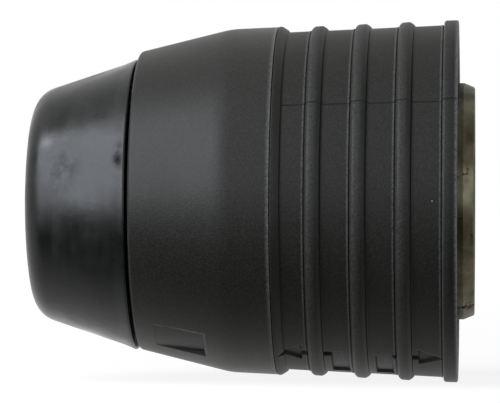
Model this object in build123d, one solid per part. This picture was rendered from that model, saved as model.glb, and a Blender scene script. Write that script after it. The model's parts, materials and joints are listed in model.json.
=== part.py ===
"""Quick-change hammer drill chuck with a rubber nose cap and two sliding sleeves.

Units are millimetres. The chuck's axis lies along X. The origin is the centre of the flat rear
face of the steel tool holder, which seats on the drill's spindle shoulder, and the nose points
towards -X. Turned pieces are drawn as outlines of (x, radius) and spun about the axis. Radii are
worked outwards from the two sockets, through the balls, rings and walls, to the sleeves.
"""

import os
from math import atan2, cos, sin, sqrt

from build123d import *

# Outside lengths, counted forwards from the seat at x = 0.
seat_stand_out = 2.4          # steel left showing behind the rear rim
lock_sleeve_length = 26.35    # ribbed sleeve, front edge to rear rim
sleeve_gap = 0.15             # line between the two sleeves
release_sleeve_length = 20.2  # smooth front sleeve
nose_gap = 0.55               # groove between the nose cap and the front sleeve
nose_cap_length = 15.25

# Tool socket: a plain guide at the mouth, then a relieved bore with two drive ribs.
tool_bore_radius = 5.02
tool_bore_relief = 0.3
tool_guide_length = 11.9
tool_mouth_bevel = 0.7
barrel_wall = 4.48
barrel_bevel = 0.8
drive_rib_width = 3.0
drive_rib_height = 1.25
drive_rib_length = 13.0
drive_rib_root = 1.0          # how deep a rib is rooted in the wall
drive_rib_setback = 1.0       # rib's rear end in front of the cup

# Spindle socket: a guide at the mouth with keyways, then a narrower end that holds the balls.
spindle_bore_radius = 12.5
spindle_guide_length = 18.7
spindle_step = 0.5            # how much narrower the end is
spindle_socket_depth = 27.6
spindle_mouth_bevel = 0.6
cup_front_wall = 2.4
cup_bevel = 1.2
cup_taper_length = 1.6
cup_taper_step = 0.65
seat_rounding = 0.4
keyway_count = 3
keyway_start = 60.0           # angle of the first keyway from the top
keyway_width = 3.0
keyway_depth = 1.2

# Locking balls.
ball_radius = 3.5
tool_ball_count = 2
tool_ball_bite = 1.35         # how far a locked ball stands into the tool bore
tool_ball_setback = 4.1       # ball centre behind the front edge of the release sleeve
tool_ball_slot_run = 4.0      # room to move back while a shank goes in
spindle_ball_count = 3
spindle_ball_bite = 1.5
spindle_ball_setback = 0.35   # balls behind the seal at the bottom of the socket

# Strokes of the two sleeves.
release_stroke = 4.0
lock_stroke = 6.5

# Stack on the barrel: springs, washers, thrust plate and locking ring.
plate_thickness = 1.2
plate_rim = 0.58              # plate outside the spring that pushes it
plate_gap = 0.2               # plate inside the locking ring
tool_spring_wire = 1.4
tool_spring_turns = 4.0
tool_spring_gap = 0.5         # coil outside the barrel's washers
spring_washer_thickness = 0.8
spring_washer_radius = 13.2
locking_ring_wall = 2.1
locking_ring_tail = 3.9       # ring carries on this far behind its land
locking_ring_lead = 0.3       # ring in front of the release sleeve's edge
locking_ring_bevel = 0.4
locking_land_length = 2.6     # part of the ring that holds the balls down
snap_ring_thickness = 1.0
snap_ring_bite = 0.8
snap_ring_step = 0.8          # snap ring's bore outside the locking ring's recess
snap_ring_angle = 70.0        # where its gap is
stop_washer_thickness = 1.6
stop_washer_radius = 13.9
circlip_thickness = 1.2
circlip_bite = 0.9
circlip_reach = 2.4
ring_gap_angle = 40.0

# Stack on the cup: cam ring, spring and seat washer.
cam_ring_wall = 1.75          # outside the fully lifted balls
cam_ring_setback = 0.8        # ring behind the lock sleeve's front edge
cam_ring_bevel = 0.3
cam_land_length = 0.9
cam_relief = 0.3              # sleeve's mouth outside the end of the cone
lock_spring_wire = 1.2
lock_spring_turns = 3.0
lock_spring_gap = 1.6         # coil outside the cup
seat_washer_thickness = 1.0
seat_washer_setback = 5.5     # washer's rear face in front of the seat
seat_washer_room = 1.24       # washer inside the ribbed sleeve

# Nose cap.
cap_wall = 2.3
cap_front_wall = 3.3
cap_hollow_setback = 1.2      # hollow behind the barrel's front face
cap_hub_wall = 2.0
cap_hub_setback = 1.0         # rubber hub in front of its steel core's end
cap_core_wall = 0.95
cap_core_flange_radius = 14.0
cap_wire_radius = 0.6
cap_rear_bevel = 0.5
entry_hole_step = 0.58        # entry hole outside the tool bore
entry_funnel_step = 2.4       # funnel's mouth outside the entry hole
entry_funnel_depth = 1.6
seal_wire_radius = 0.6

# Walls of the sleeves.
release_wall = 2.0
release_hub_wall = 2.0
release_hub_lip = 0.8         # hub behind the snap ring
web_thickness = 2.4
release_web_setback = 2.6
grip_wall = 1.7
lock_hub_wall = 1.25
lock_hub_room = 1.06          # hub inside the ribbed shell

# Outside surfaces, each stepped from the one before it.
grip_flare = 1.01             # ribbed sleeve, front to flange
bead_height = 0.88            # bead at the joint, above the grip's front
bead_length = 1.4
flange_height = 0.77
flange_length = 2.1
release_joint_step = 0.1      # release sleeve's rear edge below the bead
release_shoulder_fall = 0.31
release_shoulder_length = 6.95  # from the sleeve's rear edge to where its cone ends
release_cone_fall = 3.34
nose_step = 0.4               # cap's rear edge below the release sleeve's front
nose_flare_fall = 0.85
nose_flare_length = 1.95
nose_cone_fall = 4.4

# Rounding of outside edges.
nose_front_rounding = 4.0
release_shoulder_rounding = 12.0
release_front_rounding = 0.9
flange_front_rounding = 0.45
rim_rounding = 0.3
joint_rounding = 0.12
bead_rounding = 0.8
rib_rounding = 0.55
rim_bevel = 0.5

# Rounding of inside corners.
cap_hollow_rounding = 1.0
cap_hub_rounding = 0.6
release_web_rounding = 0.8
release_mouth_rounding = 0.4
lock_web_rounding = 0.45

# Ribs of the grip.
rib_count = 3
rib_pitch = 6.4
rib_width = 2.25
rib_height = 0.7
last_rib_to_rim = 7.6
rib_groove_width = 0.2
rib_groove_depth = 0.1

# Clearances.
ball_gap = 0.1                # ball to the ring that holds it
pocket_gap = 0.06             # ball to its pocket
barrel_gap = 0.12             # washers and plate on the barrel
cup_gap = 0.05                # washer on the cup
face_gap = 0.05               # stacked flat faces
fit_gap = 0.01                # pieces pressed or moulded together
land_gap = 0.2                # cam ring's land on the cup

# Marks moulded into the sleeves.
mark_angle = 32.0             # from straight down towards the front
mark_span = 15.0
mark_length = 8.0
mark_setback = 1.4
mark_depth_front = 0.05
mark_depth = 0.65
sign_depth = 0.35
arrow_angle = 26.5            # from straight down towards the front
arrow_half_width = 2.05
front_arrow_length = 3.3
rear_arrow_length = 2.5
arrow_shaft_half_width = 0.6
arrow_shaft_length = 0.9
arrow_root = 0.35             # shaft starts this far inside the rib
block_angle = 20.0
block_length = 2.4
block_span = 17.0
block_offset = 2.9            # block centre from the middle rib

# Cutting shapes run this far past the surface that they cut.
overcut = 2.0

# Places along the axis.
rim_x = -seat_stand_out
lock_front_x = rim_x - lock_sleeve_length
release_rear_x = lock_front_x - sleeve_gap
release_front_x = release_rear_x - release_sleeve_length
cap_rear_x = release_front_x - nose_gap
cap_front_x = cap_rear_x - nose_cap_length
body_front_x = cap_front_x + cap_front_wall + 2 * face_gap
cup_front_x = -spindle_socket_depth - cup_front_wall
flange_front_x = rim_x - flange_length
cone_end_x = release_rear_x - release_shoulder_length
seal_x = -spindle_socket_depth + seal_wire_radius + face_gap
tool_ball_x = release_front_x + tool_ball_setback
spindle_ball_x = seal_x + seal_wire_radius + spindle_ball_setback + ball_radius

# Ball centres when locked, and the slopes that let them out over each sleeve's stroke.
spindle_end_radius = spindle_bore_radius - spindle_step
tool_ball_centre = tool_bore_radius - tool_ball_bite + ball_radius
spindle_ball_centre = spindle_end_radius - spindle_ball_bite + ball_radius
tool_slope = atan2(tool_ball_bite, release_stroke)
lock_slope = atan2(spindle_ball_bite, lock_stroke)

# Radii of the stack on the barrel.
barrel_radius = tool_bore_radius + barrel_wall
plate_inner_radius = barrel_radius + barrel_gap
tool_spring_outer = plate_inner_radius + tool_spring_gap + tool_spring_wire
plate_radius = tool_spring_outer + plate_rim
locking_ring_recess = plate_radius + plate_gap
locking_ring_radius = locking_ring_recess + locking_ring_wall
release_hub_bore = locking_ring_radius + fit_gap
release_hub_radius = release_hub_bore + release_hub_wall
entry_hole_radius = tool_bore_radius + entry_hole_step
entry_funnel_radius = entry_hole_radius + entry_funnel_step

# Radii of the stack on the cup.
cam_land_radius = spindle_ball_centre + ball_radius + ball_gap
cup_radius = cam_land_radius - land_gap
cup_face_radius = cup_radius - cup_taper_step
cam_ring_radius = cam_land_radius + spindle_ball_bite + cam_ring_wall
lock_hub_bore = cam_ring_radius + fit_gap
lock_hub_radius = lock_hub_bore + lock_hub_wall

# Radii of the outside surfaces.
grip_front_radius = lock_hub_radius + lock_hub_room + grip_wall
grip_rear_radius = grip_front_radius + grip_flare
bead_radius = grip_front_radius + bead_height
flange_radius = grip_rear_radius + flange_height
release_rear_radius = bead_radius - release_joint_step
release_shoulder_radius = release_rear_radius - release_shoulder_fall
release_front_radius = release_shoulder_radius - release_cone_fall
nose_rear_radius = release_front_radius - nose_step
nose_flare_radius = nose_rear_radius - nose_flare_fall
nose_front_radius = nose_flare_radius - nose_cone_fall


def turned(*corners, turn=360.0):
    """Spin a closed outline about the axis. A corner is (x, radius) or (x, radius, rounding)."""
    face = make_face(Polyline(*[(c[0], c[1]) for c in corners], close=True))
    for corner in corners:
        if len(corner) == 3:
            vertex = face.vertices().sort_by_distance((corner[0], corner[1], 0))[0]
            face = fillet(vertex, corner[2])
    return revolve(face, Axis.X, turn)


def tube(x0, x1, inner, outer, turn=360.0):
    """Plain ring between two places on the axis."""
    return turned((x0, inner), (x1, inner), (x1, outer), (x0, outer), turn=turn)


def ring_of_wire(x, radius, wire, turn=360.0):
    """Ring of round wire about the axis."""
    return revolve(Pos(x, radius) * Circle(wire), Axis.X, turn)


def spun(shape, angle):
    """Turn a shape about the chuck's axis."""
    return Rot(angle, 0, 0) * shape


def spread(shape, count, start=0.0):
    """Copies of a shape evenly round the axis."""
    return [spun(shape, start + 360.0 * k / count) for k in range(count)]


def chamfer_cut(x, radius, size, direction):
    """Bevel at the mouth of a bore; direction is where the mouth points along X."""
    far = x + direction * size
    near = x - direction * size
    return turned((near, 0), (near, radius), (far, radius + 2 * size), (far, 0))


def ramp_radius(x, ball_x, centre, slope):
    """Inner radius of the cone that a ball follows as its ring slides back."""
    return centre + (ball_radius + ball_gap + sin(slope) * (ball_x - x)) / cos(slope)


def ramp_start(ball_x, slope):
    """Where that cone meets the plain land that holds the ball down."""
    return ball_x + (ball_radius + ball_gap) * (1 - cos(slope)) / sin(slope)


def between(x, start, end):
    """Radius at x on the straight line between two (x, radius) points."""
    share = (x - start[0]) / (end[0] - start[0])
    return start[1] + share * (end[1] - start[1])


def grip_radius(x):
    """Outer radius of the ribbed sleeve between its ribs."""
    start = (lock_front_x + bead_length, grip_front_radius)
    return between(x, start, (flange_front_x, grip_rear_radius))


def grip_bore(x):
    """Inner radius of the ribbed sleeve's shell."""
    start = (lock_front_x + web_thickness, grip_front_radius - grip_wall)
    return between(x, start, (rim_x - rim_bevel, grip_rear_radius - grip_wall))


def release_radius(x):
    """Outer radius of the release sleeve's cone."""
    start = (release_front_x, release_front_radius)
    return between(x, start, (cone_end_x, release_shoulder_radius))


def ball_pocket(x, centre, run, top):
    """Pocket for a ball, with a lip that stops it from falling into the bore."""
    size = ball_radius + pocket_gap
    seat = Pos(x, 0, centre)
    upright = (Align.CENTER, Align.CENTER, Align.MIN)
    pocket = seat * Sphere(size) + seat * Cylinder(size, top - centre, align=upright)
    if run > 0:
        pocket += Pos(run, 0, 0) * pocket
        pocket += seat * Rot(0, 90, 0) * Cylinder(size, run, align=upright)
        sides = (Align.MIN, Align.CENTER, Align.MIN)
        pocket += seat * Box(run, 2 * size, top - centre, align=sides)
    return pocket


def circlip(x, shaft_radius):
    """Open retaining ring whose gap faces down."""
    inner = shaft_radius - circlip_bite + face_gap
    outer = shaft_radius + circlip_reach
    ring = tube(x, x + circlip_thickness, inner, outer, 360.0 - ring_gap_angle)
    return spun(ring, ring_gap_angle / 2 - 90)


def circlip_groove(x, shaft_radius):
    """Cutter for the groove that a circlip sits in."""
    rear = x + circlip_thickness + face_gap
    return tube(x - face_gap, rear, shaft_radius - circlip_bite, shaft_radius + overcut)


def coil(x0, x1, radius, wire, turns):
    """Round-wire compression spring between two faces."""
    height = x1 - x0 - wire - 2 * face_gap
    path = Helix(height / turns, height, radius)
    section = Plane(path @ 0, z_dir=path % 0) * Circle(wire / 2)
    spring = sweep(section, path, is_frenet=True)
    return Pos(x0 + face_gap + wire / 2, 0, 0) * Rot(0, 90, 0) * spring


# Stack of rings round the front of the barrel, from the sleeve's front edge to the nose.
locking_ring_front_x = release_front_x - locking_ring_lead
stop_washer_rear_x = locking_ring_front_x - 2 * face_gap
stop_washer_front_x = stop_washer_rear_x - stop_washer_thickness
circlip_front_x = stop_washer_front_x - face_gap - circlip_thickness
cap_core_rear_x = circlip_front_x - face_gap
cap_wire_x = body_front_x + 2 * cap_wire_radius
cap_core_front_x = cap_wire_x + cap_wire_radius + face_gap

# Stack behind the tool balls.
tool_land_rear_x = ramp_start(tool_ball_x, tool_slope) + locking_land_length
ball_reach = sqrt(ball_radius**2 - (plate_inner_radius - tool_ball_centre) ** 2)
plate_front_x = face_gap + max(tool_land_rear_x, tool_ball_x + ball_reach)
plate_rear_x = plate_front_x + plate_thickness
spring_washer_rear_x = cup_front_x - face_gap
spring_washer_front_x = spring_washer_rear_x - spring_washer_thickness
locking_ring_rear_x = tool_land_rear_x + locking_ring_tail
snap_groove_x = locking_ring_rear_x + face_gap
snap_groove_width = snap_ring_thickness + face_gap
release_hub_rear_x = snap_groove_x + snap_groove_width + release_hub_lip

# Stack round the spindle socket.
cam_land_rear_x = ramp_start(spindle_ball_x, lock_slope) + cam_land_length
cam_ring_front_x = lock_front_x + cam_ring_setback
seat_washer_rear_x = -seat_washer_setback
seat_washer_front_x = seat_washer_rear_x - seat_washer_thickness
seat_washer_radius = grip_bore(seat_washer_front_x) - seat_washer_room
rear_circlip_x = seat_washer_rear_x + face_gap


def tool_holder_blank():
    """Body before its cross holes and grooves: barrel and cup with both sockets bored."""
    guide_end = body_front_x + tool_guide_length
    blank = turned(
        (body_front_x, 0),
        (body_front_x, barrel_radius - barrel_bevel),
        (body_front_x + barrel_bevel, barrel_radius),
        (cup_front_x, barrel_radius),
        (cup_front_x, cup_radius - cup_bevel),
        (cup_front_x + cup_bevel, cup_radius),
        (-cup_taper_length, cup_radius),
        (0, cup_face_radius, seat_rounding),
        (0, 0),
    )
    blank -= tube(body_front_x, guide_end, 0, tool_bore_radius)
    blank -= tube(guide_end, -spindle_socket_depth, 0, tool_bore_radius + tool_bore_relief)
    blank -= chamfer_cut(body_front_x, tool_bore_radius, tool_mouth_bevel, -1)
    blank -= tube(-spindle_socket_depth, -spindle_guide_length, 0, spindle_end_radius)
    blank -= tube(-spindle_guide_length, 0, 0, spindle_bore_radius)
    blank -= chamfer_cut(0, spindle_bore_radius, spindle_mouth_bevel, 1)
    return blank


def keyway():
    """Cutter for one keyway along the spindle socket's guide."""
    height = spindle_bore_radius + keyway_depth
    sides = (Align.MAX, Align.CENTER, Align.MIN)
    return Box(spindle_guide_length, keyway_width, height, align=sides)


def drive_rib():
    """Rib that drives the tool's shank, rooted in the barrel's wall."""
    place = Pos(cup_front_x - drive_rib_setback, 0, tool_bore_radius - drive_rib_height)
    height = drive_rib_height + drive_rib_root
    sides = (Align.MAX, Align.CENTER, Align.MIN)
    return place * Box(drive_rib_length, drive_rib_width, height, align=sides)


def tool_holder_body():
    """Hardened steel body: barrel for the tool in front, cup for the spindle behind."""
    body = tool_holder_blank()
    barrel_top = barrel_radius + overcut
    tool_pocket = ball_pocket(tool_ball_x, tool_ball_centre, tool_ball_slot_run, barrel_top)
    cup_top = cup_radius + overcut
    spindle_pocket = ball_pocket(spindle_ball_x, spindle_ball_centre, 0, cup_top)
    cutters = spread(keyway(), keyway_count, keyway_start)
    cutters += spread(tool_pocket, tool_ball_count)
    cutters += spread(spindle_pocket, spindle_ball_count)
    for rib in spread(drive_rib(), 2, 90.0):
        body += rib
    for cutter in cutters:
        body -= cutter
    room = cap_wire_radius + face_gap
    body -= tube(cap_wire_x - room, cap_wire_x + room, barrel_radius - room, barrel_top)
    body -= circlip_groove(circlip_front_x, barrel_radius)
    body -= circlip_groove(rear_circlip_x, cup_radius)
    return body


def nose_cap():
    """Rubber dust cap with a stiff hub on the barrel and a thin outer skirt."""
    flare_x = cap_rear_x - nose_flare_length
    hub_inner = barrel_radius + cap_core_wall + 2 * fit_gap
    hub_outer = hub_inner + cap_hub_wall
    hub_rear_x = cap_core_rear_x - cap_hub_setback
    wall_rear_x = cap_front_x + cap_front_wall
    hollow_x = wall_rear_x + cap_hollow_setback
    cone_foot = (cap_front_x, nose_front_radius)
    hollow_radius = between(hollow_x, cone_foot, (flare_x, nose_flare_radius)) - cap_wall
    wire_front_x = cap_wire_x - cap_wire_radius - face_gap
    return turned(
        (cap_front_x, entry_funnel_radius),
        (cap_front_x, nose_front_radius, nose_front_rounding),
        (flare_x, nose_flare_radius),
        (cap_rear_x, nose_rear_radius, rim_rounding),
        (cap_rear_x, nose_rear_radius - cap_wall + cap_rear_bevel),
        (hollow_x, hollow_radius, cap_hollow_rounding),
        (hollow_x, hub_outer, cap_hub_rounding),
        (hub_rear_x, hub_outer),
        (hub_rear_x, hub_inner),
        (wire_front_x, hub_inner),
        (wire_front_x, barrel_radius + fit_gap),
        (wall_rear_x, barrel_radius + fit_gap),
        (wall_rear_x, entry_hole_radius),
        (cap_front_x + entry_funnel_depth, entry_hole_radius),
    )


def nose_cap_core():
    """Steel sleeve moulded into the cap's hub, with a flange that stiffens its back."""
    inner = barrel_radius + fit_gap
    outer = barrel_radius + cap_core_wall
    flange_x = cap_core_rear_x - cap_core_wall
    return turned(
        (cap_core_front_x, inner),
        (cap_core_rear_x, inner),
        (cap_core_rear_x, cap_core_flange_radius),
        (flange_x, cap_core_flange_radius),
        (flange_x, outer),
        (cap_core_front_x, outer),
    )


def cap_retaining_ring():
    """Open wire ring that snaps into the barrel and holds the cap on."""
    ring = ring_of_wire(cap_wire_x, barrel_radius, cap_wire_radius, 360.0 - ring_gap_angle)
    return spun(ring, ring_gap_angle)


def release_sleeve():
    """Front sleeve: an outer shell on a web, with a hub that carries the locking ring."""
    web_front = release_front_x + release_web_setback
    web_rear = web_front + web_thickness
    rear_bore = release_rear_radius - release_wall
    sleeve = turned(
        (release_front_x, release_front_radius - release_wall, release_mouth_rounding),
        (release_front_x, release_front_radius, release_front_rounding),
        (cone_end_x, release_shoulder_radius, release_shoulder_rounding),
        (release_rear_x, release_rear_radius, joint_rounding),
        (release_rear_x, rear_bore),
        (cone_end_x, release_shoulder_radius - release_wall),
        (web_rear, release_radius(web_rear) - release_wall, release_web_rounding),
        (web_rear, release_hub_radius, release_web_rounding),
        (release_hub_rear_x, release_hub_radius),
        (release_hub_rear_x, release_hub_bore),
        (locking_ring_front_x, release_hub_bore),
        (locking_ring_front_x, release_hub_radius),
        (web_front, release_hub_radius, release_web_rounding),
        (web_front, release_radius(web_front) - release_wall, release_web_rounding),
    )
    groove_rear = snap_groove_x + snap_groove_width
    groove_radius = release_hub_bore + snap_ring_bite
    sleeve -= tube(snap_groove_x, groove_rear, release_hub_bore - overcut, groove_radius)
    for cutter in spread(thumb_mark(), 2, -90 - mark_angle - mark_span / 2):
        sleeve -= cutter
    return sleeve


def thumb_mark():
    """Cutter for a shallow thumb mark that deepens towards the rear."""
    front = release_front_x + mark_setback
    rear = front + mark_length
    return turned(
        (front, release_radius(front) - mark_depth_front),
        (rear, release_radius(rear) - mark_depth),
        (rear, release_radius(rear) + overcut),
        (front, release_radius(front) + overcut),
        turn=mark_span,
    )


def locking_ring():
    """Hardened ring pressed into the release sleeve: its land holds the tool balls down."""
    land_front = ramp_start(tool_ball_x, tool_slope)
    land = tool_ball_centre + ball_radius + ball_gap
    front = ramp_radius(locking_ring_front_x, tool_ball_x, tool_ball_centre, tool_slope)
    edge = locking_ring_radius - locking_ring_bevel
    return turned(
        (locking_ring_front_x, front),
        (land_front, land),
        (tool_land_rear_x, land),
        (tool_land_rear_x, locking_ring_recess),
        (locking_ring_rear_x, locking_ring_recess),
        (locking_ring_rear_x, edge),
        (locking_ring_rear_x - locking_ring_bevel, locking_ring_radius),
        (locking_ring_front_x + locking_ring_bevel, locking_ring_radius),
        (locking_ring_front_x, edge),
    )


def locking_ring_clip():
    """Snap ring that keeps the locking ring in the sleeve's hub."""
    start = snap_groove_x + face_gap / 2
    end = start + snap_ring_thickness
    inner = locking_ring_recess + snap_ring_step
    outer = release_hub_bore + snap_ring_bite - face_gap
    return spun(tube(start, end, inner, outer, 360.0 - ring_gap_angle), snap_ring_angle)


def ball_thrust_plate():
    """Plate behind the tool balls that presses them forwards."""
    return tube(plate_front_x, plate_rear_x, plate_inner_radius, plate_radius)


def tool_spring():
    """Spring between the thrust plate and the body: returns the plate and the front sleeve."""
    radius = tool_spring_outer - tool_spring_wire / 2
    return coil(plate_rear_x, spring_washer_front_x, radius, tool_spring_wire, tool_spring_turns)


def tool_spring_washer():
    """Washer between the tool spring and the front of the cup."""
    front, rear = spring_washer_front_x, spring_washer_rear_x
    return tube(front, rear, plate_inner_radius, spring_washer_radius)


def front_stop_washer():
    """Washer that the locking ring comes to rest against."""
    front, rear = stop_washer_front_x, stop_washer_rear_x
    return tube(front, rear, plate_inner_radius, stop_washer_radius)


def tool_ball(index):
    """Locking ball for the tool, in its locked place."""
    ball = Pos(tool_ball_x, 0, tool_ball_centre) * Sphere(ball_radius)
    return spun(ball, 360.0 * index / tool_ball_count)


def spindle_ball(index):
    """Locking ball for the spindle, in its locked place."""
    ball = Pos(spindle_ball_x, 0, spindle_ball_centre) * Sphere(ball_radius)
    return spun(ball, 360.0 * index / spindle_ball_count)


def rib_centre(number):
    """Place of a rib, counted forwards from the rear one."""
    return rim_x - last_rib_to_rim - rib_pitch * number


def sunk_arrow(foot, direction, length):
    """Cutter for an arrowhead and its shaft, starting at a rib's foot and pointing along X."""
    head = arrow_shaft_length
    outline = Polyline(
        (-arrow_root, -arrow_shaft_half_width),
        (head, -arrow_shaft_half_width),
        (head, -arrow_half_width),
        (head + length, 0),
        (head, arrow_half_width),
        (head, arrow_shaft_half_width),
        (-arrow_root, arrow_shaft_half_width),
        close=True,
    )
    arrow = extrude(make_face(outline), sign_depth + overcut)
    if direction < 0:
        arrow = Rot(0, 0, 180) * arrow
    return spun(Pos(foot, 0, grip_radius(foot) - sign_depth) * arrow, 180.0 - arrow_angle)


def sunk_block(foot, x):
    """Cutter for a block at x, joined to a rib's foot by a short shaft."""
    low = grip_radius(foot) - sign_depth
    high = low + sign_depth + overcut
    block = tube(x - block_length / 2, x + block_length / 2, low, high, block_span)
    upright = (Align.CENTER, Align.CENTER, Align.MIN)
    shaft = Box(abs(x - foot), 2 * arrow_shaft_half_width, high - low, align=upright)
    shaft = Pos((foot + x) / 2, 0, low) * shaft
    return spun(block, -90.0 - block_angle - block_span / 2) + spun(shaft, 180.0 - arrow_angle)


def sunk_sign():
    """Arrows and blocks between the ribs: the sleeve slides along the axis to free the chuck."""
    middle = rib_centre((rib_count - 1) / 2)
    half = rib_width / 2
    front, rear = rib_centre(rib_count - 1), rib_centre(0)
    return [
        sunk_arrow(front - half, -1, front_arrow_length),
        sunk_block(front + half, middle - block_offset),
        sunk_block(rear - half, middle + block_offset),
        sunk_arrow(rear + half, 1, rear_arrow_length),
    ]


def grip_blank():
    """Outside of the ribbed sleeve, before it is bored: cone, joint bead, flange and ribs."""
    blank = turned(
        (lock_front_x, 0),
        (lock_front_x, bead_radius, joint_rounding),
        (lock_front_x + bead_length, bead_radius, bead_rounding),
        (lock_front_x + bead_length, grip_front_radius),
        (flange_front_x, grip_rear_radius),
        (flange_front_x, flange_radius, flange_front_rounding),
        (rim_x, flange_radius, rim_rounding),
        (rim_x, 0),
    )
    feet = [flange_front_x]
    for number in range(rib_count):
        front = rib_centre(number) - rib_width / 2
        rear = front + rib_width
        blank += turned(
            (front, grip_front_radius - grip_wall / 2),
            (front, grip_radius(front) + rib_height, rib_rounding),
            (rear, grip_radius(rear) + rib_height, rib_rounding),
            (rear, grip_front_radius - grip_wall / 2),
        )
        feet.append(front)
    for foot in feet:
        radius = grip_radius(foot)
        blank -= tube(foot - rib_groove_width, foot, radius - rib_groove_depth, radius + rib_height)
    return blank


def lock_sleeve():
    """Ribbed rear sleeve with a hub for the cam ring, and a thin rim behind."""
    cone_mouth = ramp_radius(cam_ring_front_x, spindle_ball_x, spindle_ball_centre, lock_slope)
    mouth = cone_mouth + cam_relief
    web_rear = lock_front_x + web_thickness
    rim_bore = grip_rear_radius - grip_wall
    sleeve = grip_blank() - turned(
        (lock_front_x, 0),
        (lock_front_x, mouth),
        (cam_ring_front_x, mouth),
        (cam_ring_front_x, lock_hub_bore),
        (cam_land_rear_x, lock_hub_bore),
        (cam_land_rear_x, lock_hub_radius),
        (web_rear, lock_hub_radius, lock_web_rounding),
        (web_rear, grip_bore(web_rear), lock_web_rounding),
        (rim_x - rim_bevel, rim_bore),
        (rim_x, rim_bore + rim_bevel),
        (rim_x, 0),
    )
    return sleeve - sunk_sign()


def lock_cam_ring():
    """Hardened ring pressed into the ribbed sleeve: its land holds the spindle balls down."""
    land_front = ramp_start(spindle_ball_x, lock_slope)
    front_x = cam_ring_front_x + face_gap
    front = ramp_radius(front_x, spindle_ball_x, spindle_ball_centre, lock_slope)
    rear_x = cam_land_rear_x - face_gap
    edge = cam_ring_radius - cam_ring_bevel
    return turned(
        (front_x, front),
        (land_front, cam_land_radius),
        (rear_x, cam_land_radius),
        (rear_x, edge),
        (rear_x - cam_ring_bevel, cam_ring_radius),
        (front_x + cam_ring_bevel, cam_ring_radius),
        (front_x, edge),
    )


def lock_sleeve_spring():
    """Spring between the cam ring and the rear seat washer: returns the ribbed sleeve."""
    radius = cup_radius + lock_spring_gap + lock_spring_wire / 2
    return coil(cam_land_rear_x, seat_washer_front_x, radius, lock_spring_wire, lock_spring_turns)


def spring_seat_washer():
    """Wide washer behind the ribbed sleeve's spring."""
    return tube(seat_washer_front_x, seat_washer_rear_x, cup_radius + cup_gap, seat_washer_radius)


def socket_seal():
    """Rubber ring at the bottom of the spindle socket."""
    return ring_of_wire(seal_x, spindle_end_radius - seal_wire_radius - face_gap, seal_wire_radius)


pieces = {
    "tool_holder_body": tool_holder_body(),
    "nose_cap": nose_cap(),
    "nose_cap_core": nose_cap_core(),
    "cap_retaining_ring": cap_retaining_ring(),
    "front_circlip": circlip(circlip_front_x, barrel_radius),
    "front_stop_washer": front_stop_washer(),
    "release_sleeve": release_sleeve(),
    "locking_ring": locking_ring(),
    "locking_ring_clip": locking_ring_clip(),
    "ball_thrust_plate": ball_thrust_plate(),
    "tool_spring": tool_spring(),
    "tool_spring_washer": tool_spring_washer(),
    "lock_sleeve": lock_sleeve(),
    "lock_cam_ring": lock_cam_ring(),
    "lock_sleeve_spring": lock_sleeve_spring(),
    "spring_seat_washer": spring_seat_washer(),
    "rear_circlip": circlip(rear_circlip_x, cup_radius),
    "socket_seal": socket_seal(),
}
for number in range(tool_ball_count):
    pieces[f"tool_lock_ball_{number + 1}"] = tool_ball(number)
for number in range(spindle_ball_count):
    pieces[f"spindle_lock_ball_{number + 1}"] = spindle_ball(number)

os.makedirs("parts", exist_ok=True)
for name, piece in pieces.items():
    export_step(piece, f"parts/{name}.step")
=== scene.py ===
"""Finishes and outer skins for the quick-change drill chuck.

Laid out as an add-on: the property groups hold the sizes and colours that a user may change, each
operator makes one piece or one group of like pieces, and the panel in the sidebar lists them all.
Lengths are metres. The chuck lies along X with its nose towards -X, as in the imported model. Angles
round the axis are measured from the side that faces -Y, and grow upwards.
"""

import json
from math import ceil, cos, degrees, pi, radians, sin, tan

import bpy
import numpy as np
from bpy.props import FloatProperty, FloatVectorProperty, PointerProperty
from bpy.types import Node, NodeSocket, Operator, Panel, PropertyGroup
from mathutils import Matrix, Quaternion, Vector


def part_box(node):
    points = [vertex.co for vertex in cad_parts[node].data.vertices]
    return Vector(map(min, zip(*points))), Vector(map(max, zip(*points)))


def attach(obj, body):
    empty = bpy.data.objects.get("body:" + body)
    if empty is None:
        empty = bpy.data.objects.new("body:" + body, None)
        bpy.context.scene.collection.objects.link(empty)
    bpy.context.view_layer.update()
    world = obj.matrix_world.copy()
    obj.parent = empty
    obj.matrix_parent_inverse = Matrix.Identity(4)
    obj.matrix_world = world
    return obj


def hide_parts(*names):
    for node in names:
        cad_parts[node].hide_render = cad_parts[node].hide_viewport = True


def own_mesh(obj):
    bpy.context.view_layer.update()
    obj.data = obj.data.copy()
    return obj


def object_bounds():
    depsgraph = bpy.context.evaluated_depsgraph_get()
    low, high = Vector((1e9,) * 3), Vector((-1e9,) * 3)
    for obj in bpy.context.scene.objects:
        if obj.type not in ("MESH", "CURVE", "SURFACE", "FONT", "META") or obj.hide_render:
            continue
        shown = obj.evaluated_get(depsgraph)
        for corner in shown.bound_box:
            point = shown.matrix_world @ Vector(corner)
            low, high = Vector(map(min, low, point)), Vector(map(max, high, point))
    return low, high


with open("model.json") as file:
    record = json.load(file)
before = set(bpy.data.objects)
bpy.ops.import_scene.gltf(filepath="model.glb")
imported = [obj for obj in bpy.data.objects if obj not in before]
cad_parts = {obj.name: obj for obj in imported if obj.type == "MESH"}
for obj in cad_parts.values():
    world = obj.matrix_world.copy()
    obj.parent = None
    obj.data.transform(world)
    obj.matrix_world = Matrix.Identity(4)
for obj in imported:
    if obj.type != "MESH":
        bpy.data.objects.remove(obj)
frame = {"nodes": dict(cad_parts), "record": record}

bl_info = {
    "name": "Drill chuck skins",
    "version": (1, 0, 0),
    "blender": (4, 5, 0),
    "location": "View3D > Sidebar > Chuck",
    "description": "Moulded sleeves, rubber nose and steel finishes for a drill chuck",
    "category": "Object",
}

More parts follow.
